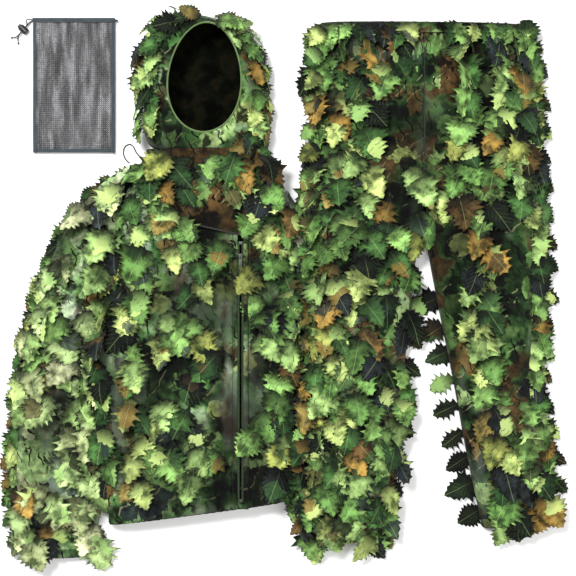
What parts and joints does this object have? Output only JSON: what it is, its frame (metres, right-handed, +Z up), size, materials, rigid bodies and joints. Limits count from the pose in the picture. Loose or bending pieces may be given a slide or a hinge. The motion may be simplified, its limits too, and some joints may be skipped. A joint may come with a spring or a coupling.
{
  "type": "ghillie suit",
  "caption": "Leafy camouflage suit laid flat: hooded zip jacket, elastic-waist trousers and a drawcord mesh storage bag.",
  "frame": {"origin": "on the ground under the middle of the whole layout", "axes": "+X across the layout from the jacket to the trousers, +Y towards the hood and the waistband, +Z up from the ground"},
  "size_m": [1.1427, 1.0924, 0.089],
  "materials": {
    "printed_cloth": "sheer polyester knit printed with leaves, matt",
    "leaf_cloth": "die-cut printed polyester leaves, matt",
    "elastic": "woven elastic, black",
    "binding": "folded knit binding, dark",
    "zip_tape": "woven zip tape, green",
    "zip_coil": "nylon coil, dark green",
    "zip_metal": "painted zinc die casting, worn at the edges",
    "bag_mesh": "knitted polyester mesh, grey",
    "bag_binding": "woven polyester tape, slate",
    "cord": "braided polyester cord, black",
    "lock_plastic": "moulded acetal, black, fine spark-eroded texture",
    "spring_steel": "bright spring wire"
  },
  "bodies": {
    "jacket": {"hood_bib_panel": "printed_cloth", "jacket_back_panel": "printed_cloth", "jacket_front_left_panel": "printed_cloth", "jacket_front_right_panel": "printed_cloth", "jacket_hem_band": "printed_cloth", "jacket_hem_elastic": "elastic", "jacket_leaves_left_side": "leaf_cloth", "jacket_leaves_right_chest": "leaf_cloth", "jacket_leaves_right_side": "leaf_cloth", "neck_cord_loop": "cord", "sleeve_left_back_panel": "printed_cloth", "sleeve_left_cuff_band": "printed_cloth", "sleeve_left_front_panel": "printed_cloth", "sleeve_left_leaves": "leaf_cloth", "sleeve_right_back_panel": "printed_cloth", "sleeve_right_cuff_band": "printed_cloth", "sleeve_right_front_panel": "printed_cloth", "sleeve_right_leaves_outer": "leaf_cloth", "sleeve_right_seam_leaves": "leaf_cloth", "zip_bottom_box": "zip_metal", "zip_coil_left": "zip_coil", "zip_coil_right": "zip_coil", "zip_tape_left": "zip_tape", "zip_tape_right": "zip_tape", "zip_top_stop": "zip_metal"},
    "hood": {"hood_front_panel": "printed_cloth", "hood_back_panel": "printed_cloth", "face_opening_binding": "binding", "hood_leaves_crown": "leaf_cloth", "hood_leaves_right": "leaf_cloth"},
    "zip_slider": {"zip_slider": "zip_metal"},
    "zip_pull": {"zip_pull_tab": "zip_metal"},
    "trousers": {"trouser_left_ankle_band": "printed_cloth", "trouser_left_back_panel": "printed_cloth", "trouser_left_front_panel": "printed_cloth", "trouser_left_leaves_outer": "leaf_cloth", "trouser_left_seam_leaves": "leaf_cloth", "trouser_right_ankle_band": "printed_cloth", "trouser_right_back_panel": "printed_cloth", "trouser_right_front_panel": "printed_cloth", "trouser_right_inseam_leaves": "leaf_cloth", "trouser_right_leaves_outer": "leaf_cloth", "trouser_right_seam_leaves": "leaf_cloth", "waist_elastic": "elastic", "waistband_casing": "printed_cloth"},
    "bag": {"bag_back_casing": "bag_binding", "bag_back_mesh": "bag_mesh", "bag_cord_lower_knot": "cord", "bag_cord_lower_tail": "cord", "bag_cord_upper_knot": "cord", "bag_cord_upper_tail": "cord", "bag_drawcord": "cord", "bag_foot_binding": "bag_binding", "bag_front_casing": "bag_binding", "bag_front_mesh": "bag_mesh", "bag_left_binding": "bag_binding", "bag_right_binding": "bag_binding"},
    "cord_lock": {"cord_lock_body": "lock_plastic", "cord_lock_spring": "spring_steel"},
    "lock_button": {"cord_lock_plunger": "lock_plastic"}
  },
  "joints": [
    {"name": "hood_fold", "type": "hinge", "parent": "jacket", "child": "hood", "pos_m": [-0.16, 0.276, 0.077], "axis": [1, 0, 0], "range_deg": [0, 30]},
    {"name": "zip_travel", "type": "slide", "parent": "jacket", "child": "zip_slider", "axis": [0, -1, 0], "range_m": [0, 0.46]},
    {"name": "zip_pull_swing", "type": "hinge", "parent": "zip_slider", "child": "zip_pull", "pos_m": [-0.094, 0.06095, 0.07245], "axis": [-1, 0, 0], "range_deg": [0, 100]},
    {"name": "trouser_lift", "type": "slide", "parent": "jacket", "child": "trousers", "axis": [0, 0, 1], "range_m": [0, 0.25]},
    {"name": "bag_lift", "type": "slide", "parent": "jacket", "child": "bag", "axis": [0, 0, 1], "range_m": [0, 0.2]},
    {"name": "cord_lock_travel", "type": "slide", "parent": "bag", "child": "cord_lock", "axis": [-0.6494, -0.7604, 0], "range_m": [0, 0.004]},
    {"name": "lock_button_press", "type": "slide", "parent": "cord_lock", "child": "lock_button", "axis": [0.7604, -0.6494, 0], "range_m": [0, 0.003], "stiffness_N_per_m": 150, "springref_m": -0.002, "deforming": ["cord_lock_spring"]}
  ]
}
